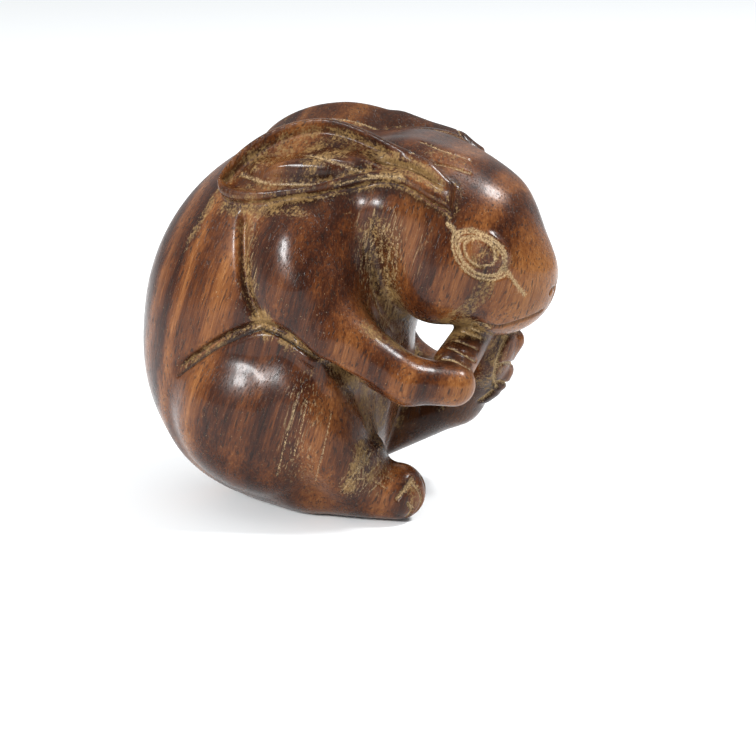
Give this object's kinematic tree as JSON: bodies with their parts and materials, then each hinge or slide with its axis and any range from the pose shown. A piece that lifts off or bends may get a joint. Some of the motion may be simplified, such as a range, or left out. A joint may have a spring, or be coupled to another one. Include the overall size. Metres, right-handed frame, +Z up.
{
  "type": "netsuke",
  "caption": "Carved wooden netsuke of a hare curled into a ball with one hind foot raised to its mouth; the hollow under the chin takes a cord.",
  "frame": {"origin": "on the ground under the middle of the carving's bounding box", "axes": "+X the way the hare faces, +Y its left side, +Z up from the flat underside"},
  "size_m": [0.0406, 0.027, 0.0379],
  "materials": {
    "hardwood": "polished striped rosewood-like hardwood, with pale wax and dust left in the carved lines"
  },
  "bodies": {
    "root": {"rabbit": "hardwood"}
  },
  "joints": []
}
